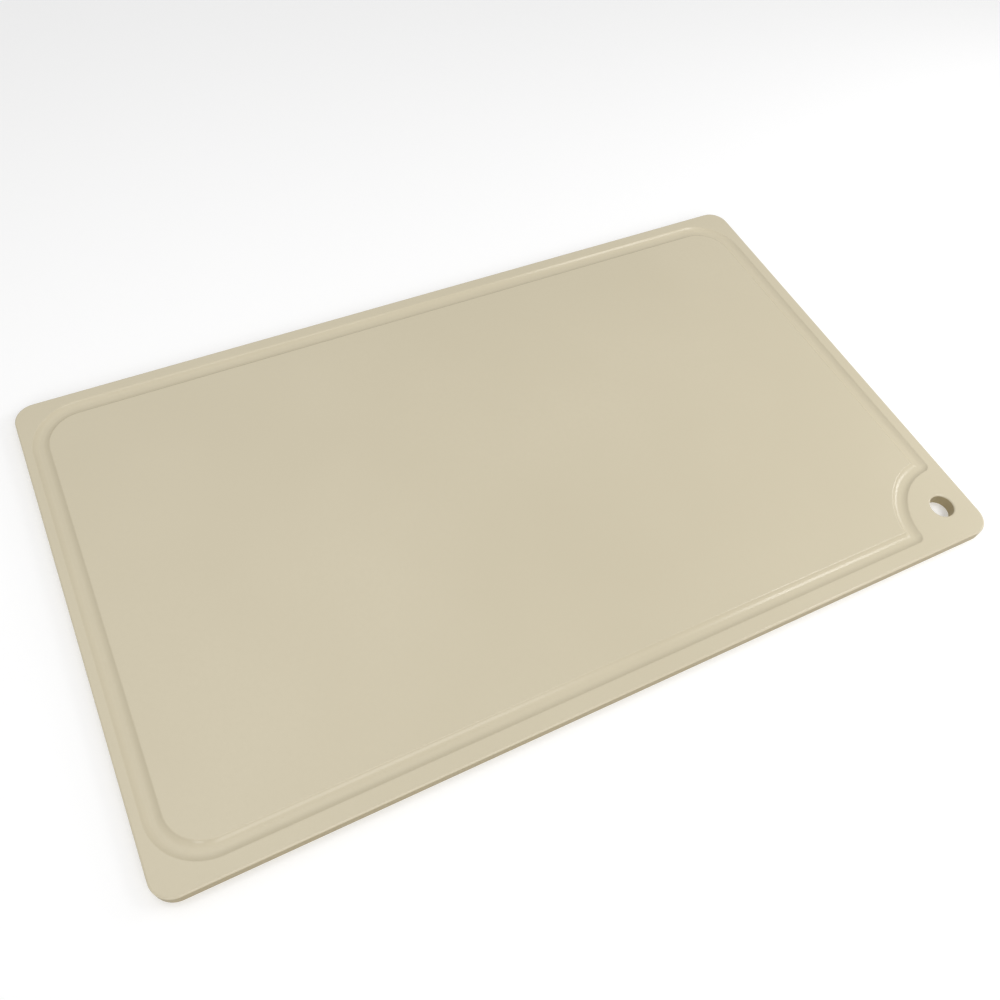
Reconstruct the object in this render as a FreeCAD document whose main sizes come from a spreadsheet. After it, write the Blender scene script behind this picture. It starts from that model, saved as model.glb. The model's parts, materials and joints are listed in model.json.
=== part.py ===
"""Plastic cutting board with a juice groove all round and a hanging hole in one corner.

The board is one machined sheet.  Its frame has the origin on the resting plane under the
middle of the board, +X along the length, +Y across the width and +Z up out of the cutting
side.  Front means -Y and back means +Y.
"""
import FreeCAD, Part
import math
import os

import Sketcher

NODE = "cutting_board"
SHEET = "Dimensions"
ORIGIN = (-1, 1)
X_AXIS = -1
START = 1
END = 2
CENTRE = 3
SAME = 1e-4

DIMENSIONS = {
    "board_length": 500.0,
    "board_width": 300.0,
    "board_thickness": 8.0,
    "corner_radius": 12.0,
    "top_edge_radius": 1.2,
    "base_edge_radius": 0.8,
    # The groove margins run from the board's edge to the middle of the groove.
    "groove_left_margin": 9.6,
    "groove_right_margin": 12.0,
    "groove_front_margin": 13.6,
    "groove_back_margin": 11.8,
    "groove_depth": 1.8,
    "groove_floor_width": 1.2,
    "groove_wall_radius": 5.2,
    "groove_lip_radius": 1.2,
    # Both radii run to the middle of the groove; the bypass margins run to its centre.
    "groove_corner_radius": 25.0,
    "bypass_radius": 40.2,
    "bypass_side_margin": 9.8,
    "bypass_front_margin": 13.0,
    "hole_radius": 7.3,
    "hole_side_margin": 19.6,
    "hole_front_margin": 24.0,
    "hole_lip_radius": 1.0,
}


def add_sheet(doc):
    """Put every driving dimension in its own named cell."""
    sheet = doc.addObject("Spreadsheet::Sheet", SHEET)
    for row, (name, value) in enumerate(DIMENSIONS.items(), start=1):
        sheet.set(f"A{row}", name)
        sheet.set(f"B{row}", str(value))
        sheet.setAlias(f"B{row}", name)
    doc.recompute()
    return sheet


def add_sketch(body, name, plane="XY_Plane", height=None):
    """Add a sketch on one of the body's own planes, raised by an expression if one is given."""
    sketch = body.newObject("Sketcher::SketchObject", name)
    support = next(item for item in body.Origin.OriginFeatures if item.Role == plane)
    sketch.AttachmentSupport = [(support, "")]
    sketch.MapMode = "FlatFace"
    if height:
        sketch.setExpression("AttachmentOffset.Base.z", height)
    return sketch


def add_line(sketch, start, end):
    """Add a line and hold it level or upright."""
    line = Part.LineSegment(FreeCAD.Vector(*start, 0), FreeCAD.Vector(*end, 0))
    index = sketch.addGeometry(line)
    level = abs(start[1] - end[1]) < SAME
    sketch.addConstraint(Sketcher.Constraint("Horizontal" if level else "Vertical", index))
    return index


def add_arc(sketch, centre, radius, first, last):
    """Add an arc that runs counter-clockwise between two angles in degrees."""
    circle = Part.Circle(FreeCAD.Vector(*centre, 0), FreeCAD.Vector(0, 0, 1), radius)
    arc = Part.ArcOfCircle(circle, math.radians(first), math.radians(last))
    return sketch.addGeometry(arc)


def join(sketch, kind, ends):
    """Join each pair of ends, "Tangent" or "Coincident"; an end is (geometry, START or END)."""
    for (first, first_end), (second, second_end) in ends:
        sketch.addConstraint(Sketcher.Constraint(kind, first, first_end, second, second_end))


def bind(sketch, name, constraint, expression):
    """Add a dimension and drive it from the sheet."""
    index = sketch.addConstraint(constraint)
    sketch.renameConstraint(index, name)
    sketch.setExpression(f"Constraints.{name}", expression)


def bind_radius(sketch, name, arc, expression):
    radius = sketch.Geometry[arc].Radius
    bind(sketch, name, Sketcher.Constraint("Radius", arc, radius), expression)


def bind_place(sketch, name, axis, point, expression):
    """Hold a point of the sketch at a distance from the origin, on the side where it lies."""
    place = sketch.getPoint(*point)
    distance = place.x if axis == "X" else place.y
    pair = (ORIGIN, point) if distance > 0 else (point, ORIGIN)
    dimension = Sketcher.Constraint(f"Distance{axis}", *pair[0], *pair[1], abs(distance))
    bind(sketch, name, dimension, expression)


def draw_outline(sketch, sheet):
    """A rectangle about the origin with its four corners rounded."""
    half_length = sheet.board_length / 2
    half_width = sheet.board_width / 2
    radius = sheet.corner_radius
    inner_x = half_length - radius
    inner_y = half_width - radius
    front = add_line(sketch, (-inner_x, -half_width), (inner_x, -half_width))
    right = add_line(sketch, (half_length, -inner_y), (half_length, inner_y))
    back = add_line(sketch, (inner_x, half_width), (-inner_x, half_width))
    left = add_line(sketch, (-half_length, inner_y), (-half_length, -inner_y))
    front_right = add_arc(sketch, (inner_x, -inner_y), radius, 270, 360)
    back_right = add_arc(sketch, (inner_x, inner_y), radius, 0, 90)
    back_left = add_arc(sketch, (-inner_x, inner_y), radius, 90, 180)
    front_left = add_arc(sketch, (-inner_x, -inner_y), radius, 180, 270)
    chain = (front, front_right, right, back_right, back, back_left, left, front_left)
    join(sketch, "Tangent", [((a, END), (b, START)) for a, b in zip(chain, chain[1:] + chain[:1])])
    for arc in (back_right, back_left, front_left):
        sketch.addConstraint(Sketcher.Constraint("Equal", front_right, arc))
    bind_radius(sketch, "corner", front_right, f"{SHEET}.corner_radius")
    bind_place(sketch, "right", "X", (right, START), f"{SHEET}.board_length / 2")
    bind_place(sketch, "left", "X", (left, START), f"{SHEET}.board_length / 2")
    bind_place(sketch, "front", "Y", (front, START), f"{SHEET}.board_width / 2")
    bind_place(sketch, "back", "Y", (back, START), f"{SHEET}.board_width / 2")


def draw_groove_path(sketch, sheet):
    """The groove's middle line: a rounded rectangle that bows inwards round the hanging hole."""
    left = -sheet.board_length / 2 + sheet.groove_left_margin
    right = sheet.board_length / 2 - sheet.groove_right_margin
    front = -sheet.board_width / 2 + sheet.groove_front_margin
    back = sheet.board_width / 2 - sheet.groove_back_margin
    corner = sheet.groove_corner_radius
    bypass = sheet.bypass_radius
    centre_x = sheet.board_length / 2 - sheet.bypass_side_margin
    centre_y = -sheet.board_width / 2 + sheet.bypass_front_margin
    first = math.acos((right - centre_x) / bypass)
    last = math.pi - math.asin((front - centre_y) / bypass)
    bow_front = centre_x + bypass * math.cos(last)
    bow_right = centre_y + bypass * math.sin(first)
    near_left = add_line(sketch, (left, 0), (left, front + corner))
    front_left = add_arc(sketch, (left + corner, front + corner), corner, 180, 270)
    front_run = add_line(sketch, (left + corner, front), (bow_front, front))
    bow = add_arc(sketch, (centre_x, centre_y), bypass, math.degrees(first), math.degrees(last))
    right_run = add_line(sketch, (right, bow_right), (right, back - corner))
    back_right = add_arc(sketch, (right - corner, back - corner), corner, 0, 90)
    back_run = add_line(sketch, (right - corner, back), (left + corner, back))
    back_left = add_arc(sketch, (left + corner, back - corner), corner, 90, 180)
    far_left = add_line(sketch, (left, back - corner), (left, 0))
    join(sketch, "Tangent", (
        ((near_left, END), (front_left, START)),
        ((front_left, END), (front_run, START)),
        ((right_run, END), (back_right, START)),
        ((back_right, END), (back_run, START)),
        ((back_run, END), (back_left, START)),
        ((back_left, END), (far_left, START)),
    ))
    join(sketch, "Coincident", (
        ((front_run, END), (bow, END)),
        ((bow, START), (right_run, START)),
        ((far_left, END), (near_left, START)),
    ))
    sketch.addConstraint(Sketcher.Constraint("PointOnObject", near_left, START, X_AXIS))
    for arc in (back_right, back_left):
        sketch.addConstraint(Sketcher.Constraint("Equal", front_left, arc))
    bind_radius(sketch, "corner", front_left, f"{SHEET}.groove_corner_radius")
    bind_radius(sketch, "bypass", bow, f"{SHEET}.bypass_radius")
    half_length = f"{SHEET}.board_length / 2"
    half_width = f"{SHEET}.board_width / 2"
    for name, axis, point, half, margin in (
        ("left", "X", (near_left, START), half_length, "groove_left_margin"),
        ("right", "X", (right_run, START), half_length, "groove_right_margin"),
        ("front", "Y", (front_run, START), half_width, "groove_front_margin"),
        ("back", "Y", (back_run, START), half_width, "groove_back_margin"),
        ("bypass_x", "X", (bow, CENTRE), half_length, "bypass_side_margin"),
        ("bypass_y", "Y", (bow, CENTRE), half_width, "bypass_front_margin"),
    ):
        bind_place(sketch, name, axis, point, f"{half} - {SHEET}.{margin}")


def draw_groove_section(sketch, sheet):
    """A shallow flat-bottomed bowl with soft lips, open at the cutting side."""
    middle = -sheet.board_length / 2 + sheet.groove_left_margin
    half_floor = sheet.groove_floor_width / 2
    wall = sheet.groove_wall_radius
    lip = sheet.groove_lip_radius
    top = sheet.board_thickness
    floor = top - sheet.groove_depth
    lean = math.acos(1 - sheet.groove_depth / (wall + lip))
    slope = math.degrees(lean)
    reach = half_floor + (wall + lip) * math.sin(lean)
    flat = add_line(sketch, (middle - half_floor, floor), (middle + half_floor, floor))
    right_wall = add_arc(sketch, (middle + half_floor, floor + wall), wall, 270, 270 + slope)
    right_lip = add_arc(sketch, (middle + reach, top - lip), lip, 90, 90 + slope)
    opening = add_line(sketch, (middle + reach, top), (middle - reach, top))
    left_lip = add_arc(sketch, (middle - reach, top - lip), lip, 90 - slope, 90)
    left_wall = add_arc(sketch, (middle - half_floor, floor + wall), wall, 270 - slope, 270)
    join(sketch, "Tangent", (
        ((flat, END), (right_wall, START)),
        ((right_wall, END), (right_lip, END)),
        ((left_lip, START), (left_wall, START)),
        ((left_wall, END), (flat, START)),
    ))
    join(sketch, "Coincident", (
        ((right_lip, START), (opening, START)),
        ((opening, END), (left_lip, END)),
    ))
    for lip_arc, end in ((right_lip, START), (left_lip, END)):
        sketch.addConstraint(Sketcher.Constraint("Vertical", lip_arc, CENTRE, lip_arc, end))
    sketch.addConstraint(Sketcher.Constraint("Equal", right_wall, left_wall))
    sketch.addConstraint(Sketcher.Constraint("Equal", right_lip, left_lip))
    bind_radius(sketch, "wall", right_wall, f"{SHEET}.groove_wall_radius")
    bind_radius(sketch, "lip", right_lip, f"{SHEET}.groove_lip_radius")
    bind_place(sketch, "top", "Y", (opening, START), f"{SHEET}.board_thickness")
    depth = f"{SHEET}.board_thickness - {SHEET}.groove_depth"
    bind_place(sketch, "floor", "Y", (flat, START), depth)
    place = f"{SHEET}.board_length / 2 - {SHEET}.groove_left_margin"
    half_floor = f"{SHEET}.groove_floor_width / 2"
    bind_place(sketch, "floor_left", "X", (flat, START), f"{place} + {half_floor}")
    bind_place(sketch, "floor_right", "X", (flat, END), f"{place} - {half_floor}")


def draw_hole(sketch, sheet):
    """A circle near the front right corner of the board."""
    centre_x = sheet.board_length / 2 - sheet.hole_side_margin
    centre_y = -sheet.board_width / 2 + sheet.hole_front_margin
    centre = FreeCAD.Vector(centre_x, centre_y, 0)
    circle = sketch.addGeometry(Part.Circle(centre, FreeCAD.Vector(0, 0, 1), sheet.hole_radius))
    bind_radius(sketch, "hole", circle, f"{SHEET}.hole_radius")
    half_board = f"{SHEET}.board_length / 2"
    bind_place(sketch, "hole_x", "X", (circle, CENTRE), f"{half_board} - {SHEET}.hole_side_margin")
    half_board = f"{SHEET}.board_width / 2"
    bind_place(sketch, "hole_y", "Y", (circle, CENTRE), f"{half_board} - {SHEET}.hole_front_margin")


def edge_loop(shape, height, span):
    """Names of the edges of the flat loop at one height that reaches span along X."""
    for wire in shape.Wires:
        box = wire.BoundBox
        flat = abs(box.ZMin - height) < SAME and abs(box.ZMax - height) < SAME
        if flat and abs(box.XLength - span) < SAME:
            return [
                f"Edge{number}"
                for number, edge in enumerate(shape.Edges, start=1)
                if any(edge.isSame(member) for member in wire.Edges)
            ]
    raise ValueError(f"no flat loop {span:.3f} long at height {height:.3f}")


def round_loops(body, name, base, loops, radius):
    """Round every edge of the given loops; a loop is (height, span along X)."""
    names = [edge for height, span in loops for edge in edge_loop(base.Shape, height, span)]
    fillet = body.newObject("PartDesign::Fillet", name)
    fillet.Base = (base, names)
    fillet.setExpression("Radius", f"{SHEET}.{radius}")
    body.Document.recompute()
    return fillet


def cut(body, kind, name, sketch):
    """Add a feature of the given kind that must take material away."""
    feature = body.newObject(f"PartDesign::{kind}", name)
    feature.Profile = sketch
    return feature


def recompute_cut(body, feature, before):
    """Recompute after a cut and stop if it left the solid as it was."""
    body.Document.recompute()
    if not feature.Shape.Volume < before.Shape.Volume:
        raise RuntimeError(f"{feature.Name} removed nothing")


def build_board(doc, sheet):
    """Pad the sheet of plastic, sweep the groove, bore the hole, then ease every edge."""
    body = doc.addObject("PartDesign::Body", NODE)
    body.Label = NODE

    outline = add_sketch(body, "outline")
    draw_outline(outline, sheet)
    slab = body.newObject("PartDesign::Pad", "slab")
    slab.Profile = outline
    slab.setExpression("Length", f"{SHEET}.board_thickness")
    doc.recompute()

    path = add_sketch(body, "groove_path", height=f"{SHEET}.board_thickness")
    draw_groove_path(path, sheet)
    section = add_sketch(body, "groove_section", plane="XZ_Plane")
    draw_groove_section(section, sheet)
    groove = cut(body, "SubtractivePipe", "groove", section)
    groove.Spine = path
    groove.Transition = "Round corner"
    recompute_cut(body, groove, slab)

    circle = add_sketch(body, "hole_circle", height=f"{SHEET}.board_thickness")
    draw_hole(circle, sheet)
    hole = cut(body, "Pocket", "hanging_hole", circle)
    hole.Type = "ThroughAll"
    recompute_cut(body, hole, groove)

    top = sheet.board_thickness
    span = 2 * sheet.hole_radius
    last = round_loops(body, "hole_lips", hole, [(top, span), (0, span)], "hole_lip_radius")
    last = round_loops(body, "top_edge", last, [(top, sheet.board_length)], "top_edge_radius")
    last = round_loops(body, "base_edge", last, [(0, sheet.board_length)], "base_edge_radius")
    body.Tip = last
    doc.recompute()
    return body


def check(doc, bodies):
    """Stop if anything in the document failed or a solid is not sound."""
    for item in doc.Objects:
        if {"Invalid", "Error"} & set(item.State):
            raise RuntimeError(f"{item.Name} failed: {item.State}")
        if item.isDerivedFrom("Sketcher::SketchObject") and not item.FullyConstrained:
            raise RuntimeError(f"{item.Name} is not fully constrained")
    for body in bodies:
        shape = body.Shape
        if shape.isNull() or not shape.isValid() or len(shape.Solids) != 1:
            raise RuntimeError(f"{body.Label} is not one sound solid")


def export(bodies):
    """Write one STEP file for each sub-part, named after it."""
    os.makedirs("parts", exist_ok=True)
    for body in bodies:
        body.Shape.exportStep(f"parts/{body.Label}.step")
        box = body.Shape.optimalBoundingBox(True, True)
        size = f"{box.XLength:.3f} x {box.YLength:.3f} x {box.ZLength:.3f} mm"
        print(f"{body.Label}: {size}, {body.Shape.Volume / 1000:.2f} cm3")


def main():
    doc = FreeCAD.newDocument("CuttingBoard")
    sheet = add_sheet(doc)
    bodies = [build_board(doc, sheet)]
    check(doc, bodies)
    export(bodies)


main()
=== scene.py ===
"""Beige plastic cutting board with a juice groove and a hanging hole, on a pale studio floor."""
import json
import math

import bmesh
import bpy
from mathutils import Euler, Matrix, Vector


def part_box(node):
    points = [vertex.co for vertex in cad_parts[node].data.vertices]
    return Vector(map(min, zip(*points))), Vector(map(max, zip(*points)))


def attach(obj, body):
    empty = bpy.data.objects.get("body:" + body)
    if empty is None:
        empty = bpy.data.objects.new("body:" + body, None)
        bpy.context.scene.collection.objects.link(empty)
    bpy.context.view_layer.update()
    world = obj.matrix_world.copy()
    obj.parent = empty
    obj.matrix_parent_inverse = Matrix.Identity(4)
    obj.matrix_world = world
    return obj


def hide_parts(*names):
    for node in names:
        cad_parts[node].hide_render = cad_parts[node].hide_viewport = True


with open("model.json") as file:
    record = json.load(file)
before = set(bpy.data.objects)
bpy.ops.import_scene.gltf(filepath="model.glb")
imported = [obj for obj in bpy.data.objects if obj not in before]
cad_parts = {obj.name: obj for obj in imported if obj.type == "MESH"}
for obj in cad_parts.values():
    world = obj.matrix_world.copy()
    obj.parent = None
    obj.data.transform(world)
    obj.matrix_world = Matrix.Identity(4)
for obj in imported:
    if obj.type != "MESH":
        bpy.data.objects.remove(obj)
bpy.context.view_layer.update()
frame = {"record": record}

NODE = "cutting_board"
MM = 0.001

# The board, as the CAD has it.  Margins run from the board's edge to the groove's middle line.
LOW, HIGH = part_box(NODE)
TOP = HIGH.z
CORNER_RADIUS = 12 * MM
TOP_EDGE_RADIUS = 1.2 * MM
BASE_EDGE_RADIUS = 0.8 * MM
GROOVE_LEFT = LOW.x + 9.6 * MM
GROOVE_RIGHT = HIGH.x - 12 * MM
GROOVE_FRONT = LOW.y + 13.6 * MM
GROOVE_BACK = HIGH.y - 11.8 * MM
GROOVE_DEPTH = 1.8 * MM
GROOVE_CORNER_RADIUS = 25 * MM
FLOOR_HALF_WIDTH = 0.6 * MM
WALL_RADIUS = 5.2 * MM
LIP_RADIUS = 1.2 * MM
WALL_ANGLE = math.acos(1 - GROOVE_DEPTH / (WALL_RADIUS + LIP_RADIUS))
GROOVE_HALF_WIDTH = FLOOR_HALF_WIDTH + (WALL_RADIUS + LIP_RADIUS) * math.sin(WALL_ANGLE)
BYPASS_RADIUS = 40.2 * MM
BYPASS_CENTRE = Vector((HIGH.x - 9.8 * MM, LOW.y + 13 * MM))
CRISP_RADIUS = 0.6 * MM
HOLE_LIP_RADIUS = 1.0 * MM

HOLE = next(mount for mount in frame["record"]["mounts"] if mount["name"] == "hang_hole")
HOLE_PLACE = Vector(HOLE["pos_m"][:2])
HOLE_RADIUS = HOLE["dims"]["r_mm"] * MM

QUARTER = math.pi / 2
ARC_STEPS = 16
LINE_STEPS = 24
HOLE_STEPS = 64
ROUND_STEPS = 8

# The plastic.  A pattern's scale is its noise scale: the larger, the finer the pattern.
BEIGE = (0.668, 0.600, 0.443, 1)
BEIGE_DEEP = (0.646, 0.579, 0.424, 1)
# Painted shade: upright faces (the board's sides and the hanging hole's wall) take this darker
# colour in place of the shade they get.
BEIGE_PAINTED_SHADE = (0.38, 0.31, 0.17, 1)
MOTTLE_SCALE = 7
SPECKLE_SCALE = 420
SPECKLE_STRENGTH = 0.35
SHEEN_SCALE = 30
SHEEN_ROUGHNESS = (0.18, 0.23)
SIDE_ROUGHNESS = 0.25
PAINTED_SHADE_UPRIGHTNESS = (0.45, 0.2)
GRAIN_SCALE = 650
GRAIN_DEPTH = 0.01 * MM

FLOOR_SIZE = 8
FLOOR_TONE = (0.9, 0.9, 0.9, 1)
FLOOR_ROUGHNESS = 0.9
FLOOR_GLOW = 0.18
WHITE = (1, 1, 1, 1)
WORLD_STRENGTH = 0.47
MIDDLE = (0, 0, 0)

CAMERA_PLACE = (-0.1819, -0.2604, 0.4434)
CAMERA_AIM = (-0.02635, -0.0294, 0.0)
CAMERA_ROLL = math.radians(9.169)
CAMERA_SENSOR = 36
CAMERA_LENS = 32.87
CAMERA_SHIFT = (0.01, 0.03)


def arc(centre, radius, first, last, steps=ARC_STEPS):
    """Places on an arc between two angles, each with its direction away from the centre."""
    points = []
    for step in range(steps + 1):
        angle = first + (last - first) * step / steps
        away = Vector((math.cos(angle), math.sin(angle)))
        points.append((Vector(centre) + away * radius, away))
    return points


def line(start, end, side):
    """Places inside a straight run, without its two ends, each with the same side direction."""
    start, end, side = Vector(start), Vector(end), Vector(side)
    return [(start.lerp(end, step / LINE_STEPS), side) for step in range(1, LINE_STEPS)]


def closed(arcs, sides):
    """One loop made of arcs joined by straight runs; a None side joins two arcs directly."""
    loop = []
    for number, piece in enumerate(arcs):
        following = arcs[(number + 1) % len(arcs)]
        if sides[number] is None:
            loop += piece[:-1]
        else:
            loop += piece + line(piece[-1][0], following[0][0], sides[number])
    return loop


def outline_loop(inset):
    """The board's outline moved inwards; each direction points out of the board."""
    radius = CORNER_RADIUS - inset
    right, left = HIGH.x - CORNER_RADIUS, LOW.x + CORNER_RADIUS
    back, front = HIGH.y - CORNER_RADIUS, LOW.y + CORNER_RADIUS
    arcs = [
        arc((left, front), radius, 2 * QUARTER, 3 * QUARTER),
        arc((right, front), radius, 3 * QUARTER, 4 * QUARTER),
        arc((right, back), radius, 0, QUARTER),
        arc((left, back), radius, QUARTER, 2 * QUARTER),
    ]
    return closed(arcs, [(0, -1), (1, 0), (0, 1), (-1, 0)])


def groove_loop(offset):
    """The groove's middle line moved towards the rim, or towards the field if negative.

    Each direction points towards the rim.  Towards the rim, the cutter's own radius rounds
    the two sharp turns; towards the field, the turns are nearly crisp corners.
    """
    radius = GROOVE_CORNER_RADIUS + offset
    left, right = GROOVE_LEFT + GROOVE_CORNER_RADIUS, GROOVE_RIGHT - GROOVE_CORNER_RADIUS
    front, back = GROOVE_FRONT + GROOVE_CORNER_RADIUS, GROOVE_BACK - GROOVE_CORNER_RADIUS
    turn, inset = (offset, 0) if offset > 0 else (CRISP_RADIUS, CRISP_RADIUS - offset)
    reach = BYPASS_RADIUS + inset
    across = GROOVE_RIGHT - inset - BYPASS_CENTRE.x
    along = GROOVE_FRONT + inset - BYPASS_CENTRE.y
    right_slant = math.acos(across / reach)
    front_slant = 2 * QUARTER - math.asin(along / reach)
    right_turn = (GROOVE_RIGHT - inset, BYPASS_CENTRE.y + reach * math.sin(right_slant))
    front_turn = (BYPASS_CENTRE.x + reach * math.cos(front_slant), GROOVE_FRONT + inset)
    bypass = arc(BYPASS_CENTRE, BYPASS_RADIUS - offset, front_slant, right_slant)
    arcs = [
        arc((left, front), radius, 2 * QUARTER, 3 * QUARTER),
        arc(front_turn, turn, 3 * QUARTER, 2 * QUARTER + front_slant),
        [(place, -away) for place, away in bypass],
        arc(right_turn, turn, 2 * QUARTER + right_slant, 4 * QUARTER),
        arc((right, back), radius, 0, QUARTER),
        arc((left, back), radius, QUARTER, 2 * QUARTER),
    ]
    return closed(arcs, [(0, -1), None, None, (1, 0), (0, 1), (-1, 0)])


def hole_loop(radius):
    """A circle about the hanging hole; each direction points into the hole."""
    circle = arc(HOLE_PLACE, radius, 0, 4 * QUARTER, HOLE_STEPS)[:-1]
    return [(place, -away) for place, away in circle]


def rounding(radius, first, last):
    """Across and up parts of a rounding, with their angle from straight up."""
    angles = [first + (last - first) * step / ROUND_STEPS for step in range(ROUND_STEPS + 1)]
    return [(radius * math.sin(angle), radius * math.cos(angle), angle) for angle in angles]


class Skin:
    """A mesh built from loops of vertices whose normals are known exactly."""

    def __init__(self):
        self.mesh = bmesh.new()
        self.normals = []

    def row(self, loop, height, angle):
        """Add a loop at a height; the normal leans by angle towards each place's direction."""
        vertices = []
        for place, away in loop:
            vertices.append(self.mesh.verts.new((place.x, place.y, height)))
            across = away * math.sin(angle)
            self.normals.append(Vector((across.x, across.y, math.cos(angle))))
        return vertices

    def join(self, rows):
        """Fill between following rows with quads."""
        for upper, lower in zip(rows, rows[1:]):
            for number in range(len(upper)):
                before = number - 1
                self.mesh.faces.new((upper[before], lower[before], lower[number], upper[number]))

    def fill(self, rows):
        """Fill the flat region between closed rows."""
        edges = []
        for row in rows:
            for number in range(len(row)):
                edges.append(self.mesh.edges.get((row[number - 1], row[number])))
        return bmesh.ops.triangle_fill(self.mesh, edges=edges, use_beauty=True)

    def finish(self, name):
        """Turn the skin into an object with smooth, exact normals."""
        bmesh.ops.recalc_face_normals(self.mesh, faces=self.mesh.faces)
        data = bpy.data.meshes.new(name)
        self.mesh.to_mesh(data)
        self.mesh.free()
        data.shade_smooth()
        data.normals_split_custom_set_from_vertices(self.normals)
        piece = bpy.data.objects.new(name, data)
        bpy.context.scene.collection.objects.link(piece)
        return piece


def groove_rows(skin, side):
    """The groove's wall on the rim side (1) or on the field side (-1), from lip to floor."""
    rows = []
    for across, up, angle in rounding(LIP_RADIUS, 0, WALL_ANGLE):
        loop = groove_loop(side * (GROOVE_HALF_WIDTH - across))
        rows.append(skin.row(loop, TOP - LIP_RADIUS + up, -side * angle))
    for across, up, angle in rounding(WALL_RADIUS, WALL_ANGLE, 0)[1:]:
        loop = groove_loop(side * (FLOOR_HALF_WIDTH + across))
        height = TOP - GROOVE_DEPTH + WALL_RADIUS - up
        rows.append(skin.row(loop, height, -side * angle))
    return rows


def edge_rows(skin):
    """The board's rim from the top face over the side to the base."""
    rows = []
    for across, up, angle in rounding(TOP_EDGE_RADIUS, 0, QUARTER):
        loop = outline_loop(TOP_EDGE_RADIUS - across)
        rows.append(skin.row(loop, TOP - TOP_EDGE_RADIUS + up, angle))
    for across, up, angle in rounding(BASE_EDGE_RADIUS, QUARTER, 2 * QUARTER):
        loop = outline_loop(BASE_EDGE_RADIUS - across)
        rows.append(skin.row(loop, LOW.z + BASE_EDGE_RADIUS + up, angle))
    return rows


def hole_rows(skin):
    """The hanging hole from its upper lip down the wall to its lower lip."""
    rows = []
    for across, up, angle in rounding(HOLE_LIP_RADIUS, 0, QUARTER):
        loop = hole_loop(HOLE_RADIUS + HOLE_LIP_RADIUS - across)
        rows.append(skin.row(loop, TOP - HOLE_LIP_RADIUS + up, angle))
    for across, up, angle in rounding(HOLE_LIP_RADIUS, QUARTER, 2 * QUARTER):
        loop = hole_loop(HOLE_RADIUS + HOLE_LIP_RADIUS - across)
        rows.append(skin.row(loop, LOW.z + HOLE_LIP_RADIUS + up, angle))
    return rows


def build_board():
    """One closed skin: field, groove, rim, hanging hole, side and base."""
    skin = Skin()
    rim_wall = groove_rows(skin, 1)
    field_wall = groove_rows(skin, -1)
    edge = edge_rows(skin)
    hole = hole_rows(skin)
    for rows in (rim_wall, field_wall, edge, hole):
        skin.join(rows)
    skin.join([rim_wall[-1], field_wall[-1]])
    skin.fill([field_wall[0]])
    skin.fill([rim_wall[0], edge[0], hole[0]])
    skin.fill([edge[-1], hole[-1]])
    return skin.finish("board")


class Recipe:
    """A material's node tree, with short calls for the nodes used here."""

    def __init__(self, name):
        self.material = bpy.data.materials.new(name)
        self.material.use_nodes = True
        self.tree = self.material.node_tree
        self.shader = self.tree.nodes["Principled BSDF"]
        coordinates = self.tree.nodes.new("ShaderNodeTexCoord")
        self.places = coordinates.outputs["Object"]
        self.directions = coordinates.outputs["Normal"]

    def link(self, output, socket):
        """Feed one node's output into another's socket."""
        self.tree.links.new(output, socket)

    def noise(self, scale, detail=2.0):
        """Noise fixed to the object."""
        texture = self.tree.nodes.new("ShaderNodeTexNoise")
        texture.inputs["Scale"].default_value = scale
        texture.inputs["Detail"].default_value = detail
        self.link(self.places, texture.inputs["Vector"])
        return texture.outputs["Fac"]

    def uprightness(self):
        """How far the surface faces up or down: 0 on the sides, 1 on the flat faces."""
        parts = self.tree.nodes.new("ShaderNodeSeparateXYZ")
        self.link(self.directions, parts.inputs["Vector"])
        return self.math("ABSOLUTE", parts.outputs["Z"])

    def spread(self, value, low, high, new_low=0.0, new_high=1.0):
        """Map the range low..high of a value to a new range, and clamp it there."""
        node = self.tree.nodes.new("ShaderNodeMapRange")
        self.link(value, node.inputs["Value"])
        ends = (("From Min", low), ("From Max", high), ("To Min", new_low), ("To Max", new_high))
        for socket, number in ends:
            node.inputs[socket].default_value = number
        return node.outputs["Result"]

    def math(self, operation, first, second=0.0):
        """Combine two values; the second may be a plain number or be left out."""
        node = self.tree.nodes.new("ShaderNodeMath")
        node.operation = operation
        self.link(first, node.inputs[0])
        if isinstance(second, (int, float)):
            node.inputs[1].default_value = second
        else:
            self.link(second, node.inputs[1])
        return node.outputs["Value"]

    def mix(self, factor, first, second):
        """Blend two colours; the first may be another node's output."""
        node = self.tree.nodes.new("ShaderNodeMix")
        node.data_type = "RGBA"
        self.link(factor, node.inputs["Factor"])
        if isinstance(first, tuple):
            node.inputs["A"].default_value = first
        else:
            self.link(first, node.inputs["A"])
        node.inputs["B"].default_value = second
        return node.outputs["Result"]

    def bump(self, height, distance):
        """Small relief of the surface, at most distance deep."""
        node = self.tree.nodes.new("ShaderNodeBump")
        node.inputs["Distance"].default_value = distance
        self.link(height, node.inputs["Height"])
        return node.outputs["Normal"]


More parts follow.
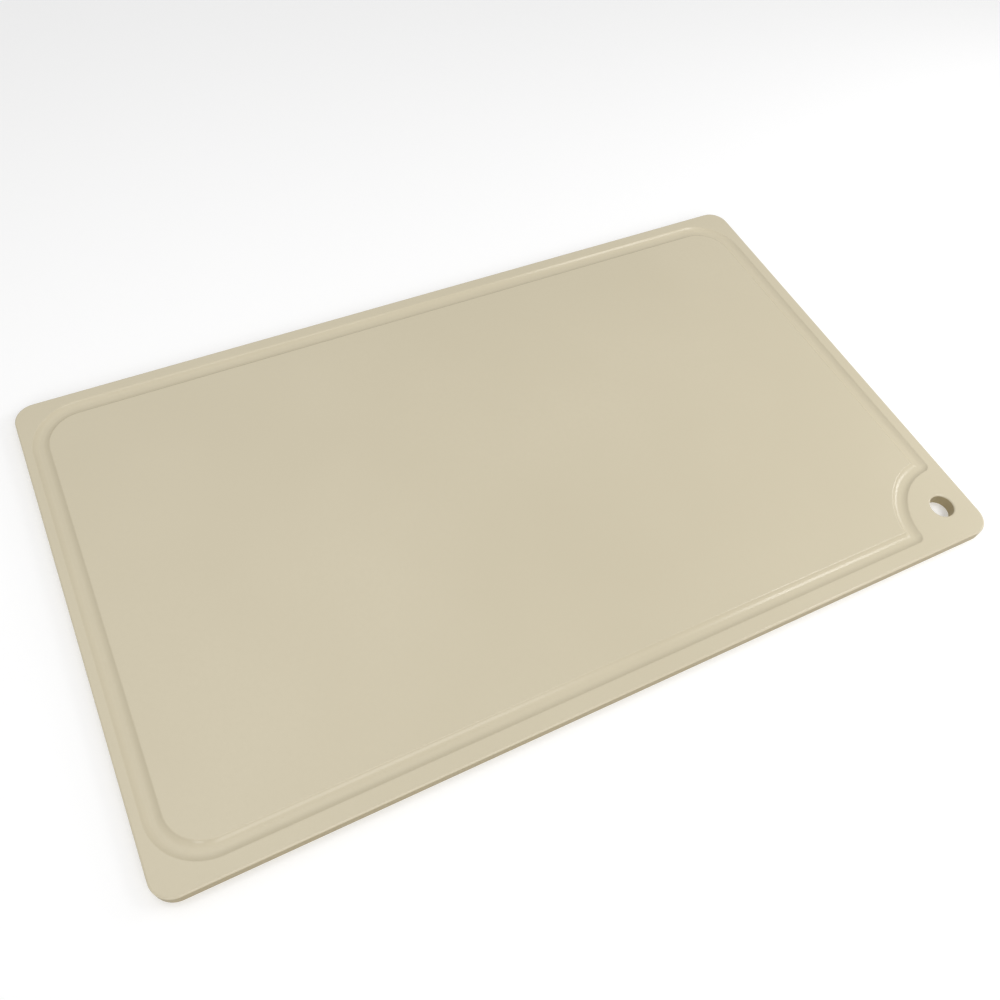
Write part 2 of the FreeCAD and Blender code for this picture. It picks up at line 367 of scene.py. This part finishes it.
def polyethylene():
    """Beige polyethylene: faint mottling and a fine grain, with painted shade darkening the
    upright sides and the hole wall.
    """
    recipe = Recipe("board_plastic")
    mottle = recipe.spread(recipe.noise(MOTTLE_SCALE, 3.0), 0.35, 0.65)
    speckle = recipe.spread(recipe.noise(SPECKLE_SCALE), 0.4, 0.7, 0, SPECKLE_STRENGTH)
    # Painted shade: the more upright a face is, the more it turns to the darker colour; the same
    # mask adds roughness on the sides.
    painted_side_shade = recipe.spread(recipe.uprightness(), *PAINTED_SHADE_UPRIGHTNESS)
    colour = recipe.mix(mottle, BEIGE, BEIGE_DEEP)
    colour = recipe.mix(speckle, colour, BEIGE_DEEP)
    colour = recipe.mix(painted_side_shade, colour, BEIGE_PAINTED_SHADE)
    recipe.link(colour, recipe.shader.inputs["Base Color"])
    sheen = recipe.spread(recipe.noise(SHEEN_SCALE, 4.0), 0.3, 0.7, *SHEEN_ROUGHNESS)
    sheen = recipe.math("ADD", sheen, recipe.math("MULTIPLY", painted_side_shade, SIDE_ROUGHNESS))
    recipe.link(sheen, recipe.shader.inputs["Roughness"])
    relief = recipe.bump(recipe.noise(GRAIN_SCALE, 3.0), GRAIN_DEPTH)
    recipe.link(relief, recipe.shader.inputs["Normal"])
    return recipe.material


def add_floor():
    """A plain pale floor under the board, with a faint glow of its own."""
    bpy.ops.mesh.primitive_plane_add(size=FLOOR_SIZE, location=(0, 0, LOW.z))
    floor = bpy.context.object
    floor.name = "floor"
    material = bpy.data.materials.new("floor")
    material.use_nodes = True
    shader = material.node_tree.nodes["Principled BSDF"]
    shader.inputs["Base Color"].default_value = FLOOR_TONE
    shader.inputs["Roughness"].default_value = FLOOR_ROUGHNESS
    shader.inputs["Emission Color"].default_value = WHITE
    shader.inputs["Emission Strength"].default_value = FLOOR_GLOW
    floor.data.materials.append(material)


def add_light(name, place, aim, size, power, mirrored=False):
    """A soft rectangular light aimed at a place; the board mirrors it only if mirrored."""
    data = bpy.data.lights.new(name, "AREA")
    data.shape = "RECTANGLE"
    data.size, data.size_y = size
    data.energy = power
    light = bpy.data.objects.new(name, data)
    light.location = place
    light.rotation_euler = (Vector(aim) - Vector(place)).to_track_quat("-Z", "Y").to_euler()
    light.visible_glossy = mirrored
    bpy.context.scene.collection.objects.link(light)


def add_lights():
    """Broad soft lights around the board, and panels whose reflections show on it."""
    add_light("front", (0, -1.3, 1.2), MIDDLE, (1, 1), 6.3, mirrored=True)
    add_light("over_left", (-0.3, 0, 0.7), MIDDLE, (0.4, 0.4), 1.1)
    add_light("right", (0.8, -0.1, 0.45), MIDDLE, (0.4, 0.4), 0.5)
    add_light("low_right", (0.8, -0.12, 0.33), MIDDLE, (0.2, 0.25), 0.6, mirrored=True)
    add_light("low_left", (-1.0, -1.1, 0.56), MIDDLE, (0.3, 0.3), 1.1, mirrored=True)
    add_light("strip", (0.53, -0.27, 0.56), (0.53, -0.27, 0), (0.26, 0.3), 1.15, mirrored=True)
    add_light("back", (-0.3, 0.75, 1.2), (-0.3, 0.75, 0), (1.1, 1.2), 1.5, mirrored=True)


def add_world():
    """An even white surrounding."""
    world = bpy.data.worlds.new("studio")
    world.use_nodes = True
    background = world.node_tree.nodes["Background"]
    background.inputs["Color"].default_value = WHITE
    background.inputs["Strength"].default_value = WORLD_STRENGTH
    bpy.context.scene.world = world


def add_camera():
    """A camera above the board's front left, looking across it to the back right."""
    data = bpy.data.cameras.new("camera")
    data.sensor_width = CAMERA_SENSOR
    data.lens = CAMERA_LENS
    data.shift_x, data.shift_y = CAMERA_SHIFT
    camera = bpy.data.objects.new("camera", data)
    aim = Vector(CAMERA_AIM) - Vector(CAMERA_PLACE)
    turn = aim.to_track_quat("-Z", "Y") @ Euler((0, 0, CAMERA_ROLL)).to_quaternion()
    camera.location = CAMERA_PLACE
    camera.rotation_euler = turn.to_euler()
    bpy.context.scene.collection.objects.link(camera)
    bpy.context.scene.camera = camera


board = build_board()
board.data.materials.append(polyethylene())
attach(board, "root")
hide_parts(NODE)
add_floor()
add_world()
add_lights()
add_camera()
bpy.context.scene.view_settings.view_transform = "Standard"
